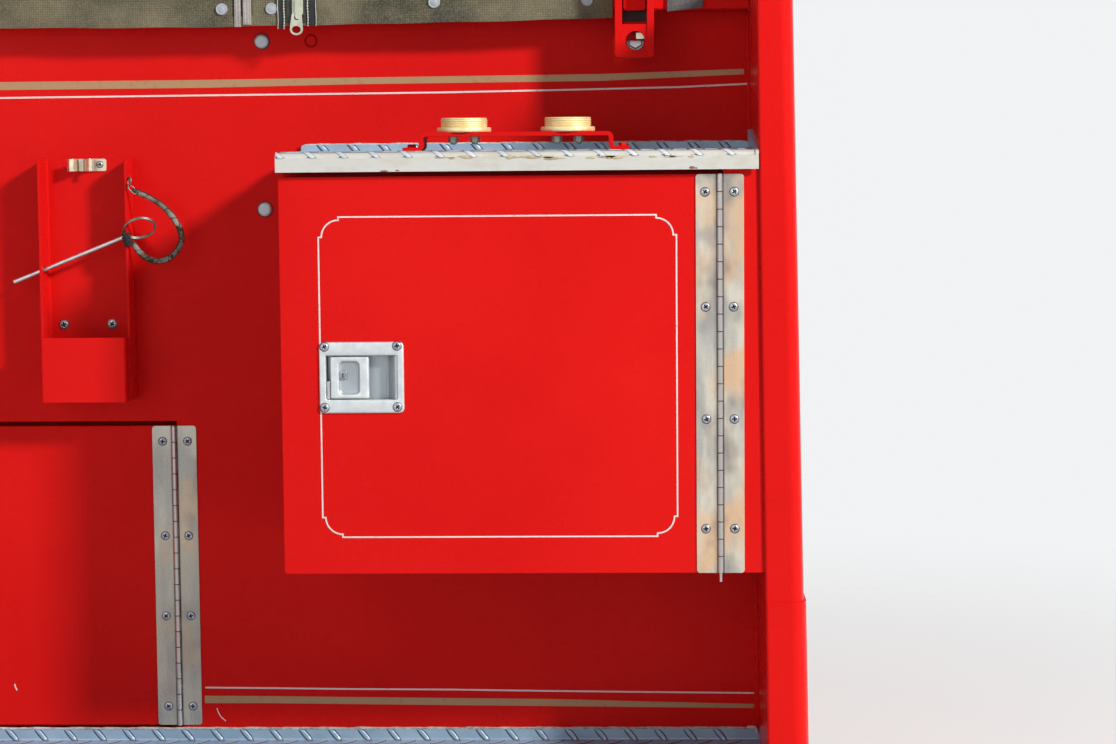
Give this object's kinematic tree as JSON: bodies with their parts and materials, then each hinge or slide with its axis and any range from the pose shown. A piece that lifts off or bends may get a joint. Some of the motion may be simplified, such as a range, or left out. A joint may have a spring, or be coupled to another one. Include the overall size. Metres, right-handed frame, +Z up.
{
  "type": "fire truck body side bay",
  "caption": "Side bay of a fire truck body: red recessed wall, two piano-hinged lockers with flush latches, tread plates, tool holder and adaptor rail.",
  "frame": {"origin": "middle of the base, on the plane that the bay stands on", "axes": "+X along the truck to the right as seen from outside, +Y into the body, +Z up"},
  "size_m": [1.215, 0.394, 0.9158],
  "materials": {
    "red_paint": "gloss",
    "underframe": "satin",
    "tread_plate": "satin",
    "stainless": "satin",
    "latch_cast": "satin",
    "zinc": "satin",
    "stud": "satin",
    "brass": "satin",
    "seal": "matte",
    "canvas": "matte",
    "webbing": "matte",
    "lanyard": "matte"
  },
  "bodies": {
    "bay_body": {"base_sills": "underframe", "base_cross_tubes": "underframe", "front_post": "red_paint", "rear_post": "red_paint", "kick_plates": "red_paint", "side_deck": "tread_plate", "back_wall": "red_paint", "wall_stiffeners": "red_paint", "top_rail": "red_paint", "upper_side": "red_paint", "upper_floor": "red_paint", "upper_header": "red_paint", "upper_jamb": "red_paint", "upper_tread": "tread_plate", "upper_seal": "seal", "lower_sides": "red_paint", "lower_roof": "red_paint", "lower_floor": "red_paint", "lower_back": "red_paint", "lower_landing": "red_paint", "lower_seal": "seal", "upper_hinge_jamb_leaf": "stainless", "upper_hinge_pin": "stainless", "lower_hinge_wall_leaf": "stainless", "lower_hinge_pin": "stainless", "upper_striker": "zinc", "lower_striker": "zinc", "adaptor_rail": "red_paint", "adaptor_1": "brass", "adaptor_2": "brass", "adaptor_bolts": "zinc", "holder_channel": "red_paint", "holder_pocket": "red_paint", "holder_clip": "zinc", "holder_pin": "zinc", "lanyard_link": "zinc", "lanyard": "lanyard", "stay_bracket": "red_paint", "stay_tongue": "red_paint", "stay_bolt": "zinc", "cover_skirt": "canvas", "cover_strap": "webbing", "wall_studs": "stud"},
    "upper_door_body": {"upper_door": "red_paint", "upper_hinge_door_leaf": "stainless", "upper_latch_cup": "latch_cast", "upper_latch_paddle": "latch_cast", "upper_latch_case": "zinc"},
    "lower_door_body": {"lower_door": "red_paint", "lower_hinge_door_leaf": "stainless", "lower_latch_cup": "latch_cast", "lower_latch_paddle": "latch_cast", "lower_latch_case": "zinc"}
  },
  "joints": [
    {"name": "upper_door_hinge", "type": "hinge", "parent": "bay_body", "child": "upper_door_body", "pos_m": [0.514, -0.1878, 0.477], "axis": [0, 0, 1], "range_deg": [0, 115]},
    {"name": "lower_door_hinge", "type": "hinge", "parent": "bay_body", "child": "lower_door_body", "pos_m": [-0.097, 0.0142, 0.23225], "axis": [0, 0, 1], "range_deg": [0, 105]}
  ]
}
